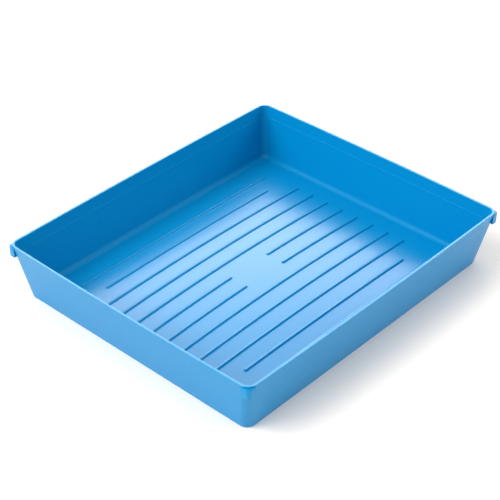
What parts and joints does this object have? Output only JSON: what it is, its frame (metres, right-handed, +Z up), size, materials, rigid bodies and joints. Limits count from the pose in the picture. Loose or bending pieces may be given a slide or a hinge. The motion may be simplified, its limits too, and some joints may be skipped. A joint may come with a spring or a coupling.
{
  "type": "mud pan",
  "caption": "Wide, shallow moulded plastic tray with drafted walls, rounded corners, a crowned ribbed floor and a stacking lug outside each corner.",
  "frame": {"origin": "on the surface the tray stands on, below the middle of the tray", "axes": "+Z up; +X along the longer side and along the floor ribs; +Y along the shorter side, towards the back wall"},
  "size_m": [0.3556, 0.3026, 0.058],
  "materials": {
    "moulding": "semi-gloss as moulded"
  },
  "bodies": {
    "root": {"floor_panel": "moulding", "wall_front": "moulding", "wall_right": "moulding", "wall_back": "moulding", "wall_left": "moulding", "corner_front_left": "moulding", "corner_front_right": "moulding", "corner_back_right": "moulding", "corner_back_left": "moulding", "stacking_lug_front_left": "moulding", "stacking_lug_front_right": "moulding", "stacking_lug_back_right": "moulding", "stacking_lug_back_left": "moulding", "floor_rib_01": "moulding", "floor_rib_02": "moulding", "floor_rib_03": "moulding", "floor_rib_04": "moulding", "floor_rib_05": "moulding", "floor_rib_06": "moulding", "floor_rib_07": "moulding", "floor_rib_08": "moulding", "floor_rib_09": "moulding", "floor_rib_10": "moulding", "floor_rib_11": "moulding", "floor_rib_12": "moulding"}
  },
  "joints": []
}
